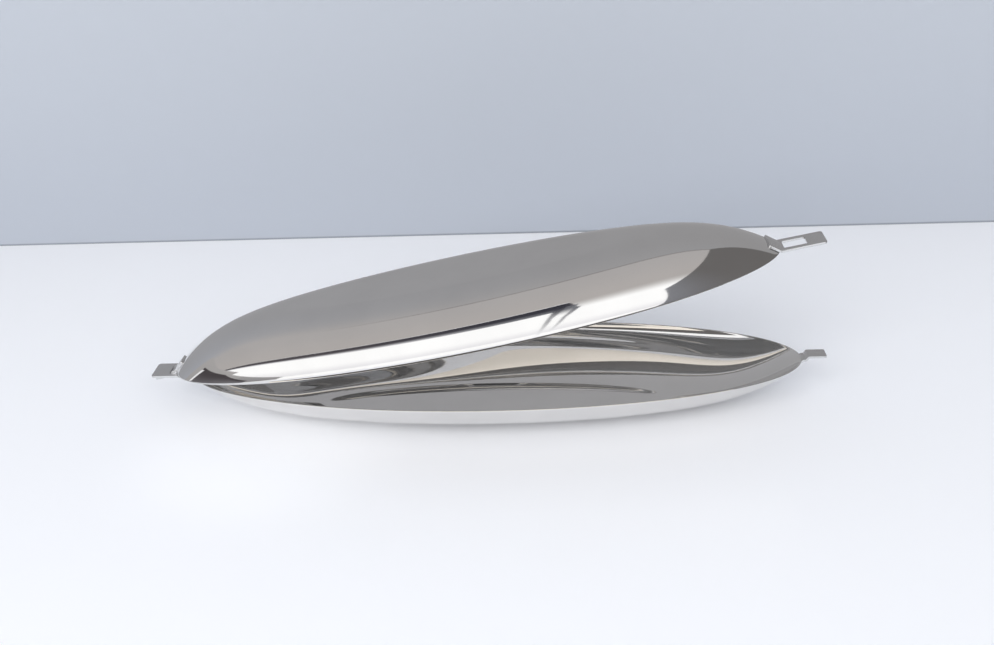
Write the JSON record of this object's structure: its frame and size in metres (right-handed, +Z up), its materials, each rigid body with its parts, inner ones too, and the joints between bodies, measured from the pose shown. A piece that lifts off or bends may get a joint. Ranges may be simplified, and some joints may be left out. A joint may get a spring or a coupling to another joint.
{
  "type": "fish poacher",
  "caption": "Long boat-shaped steel fish poacher: two equal shells with slotted grips and tongues, the lid hooked tilted open at one end.",
  "frame": {"origin": "middle of the flat underside of the lower shell, on the plane that it stands on", "axes": "+X along the vessel, away from the end where the lid is hooked; +Y across it, away from the picture's viewer; +Z up"},
  "size_m": [0.5504, 0.15, 0.1511],
  "materials": {
    "shell_steel": "polished stainless steel, mirror inside and softly polished outside",
    "strip_steel": "satin polished stainless steel"
  },
  "bodies": {
    "base": {"lower_shell": "shell_steel", "lower_grip": "strip_steel", "lower_tongue": "strip_steel"},
    "lid": {"lid_shell": "shell_steel", "lid_grip": "strip_steel", "lid_tongue": "strip_steel"}
  },
  "joints": [
    {"name": "lid_hinge", "type": "hinge", "parent": "base", "child": "lid", "pos_m": [-0.26422, 0, 0.03612], "axis": [0, -1, 0], "range_deg": [0, 64]}
  ]
}
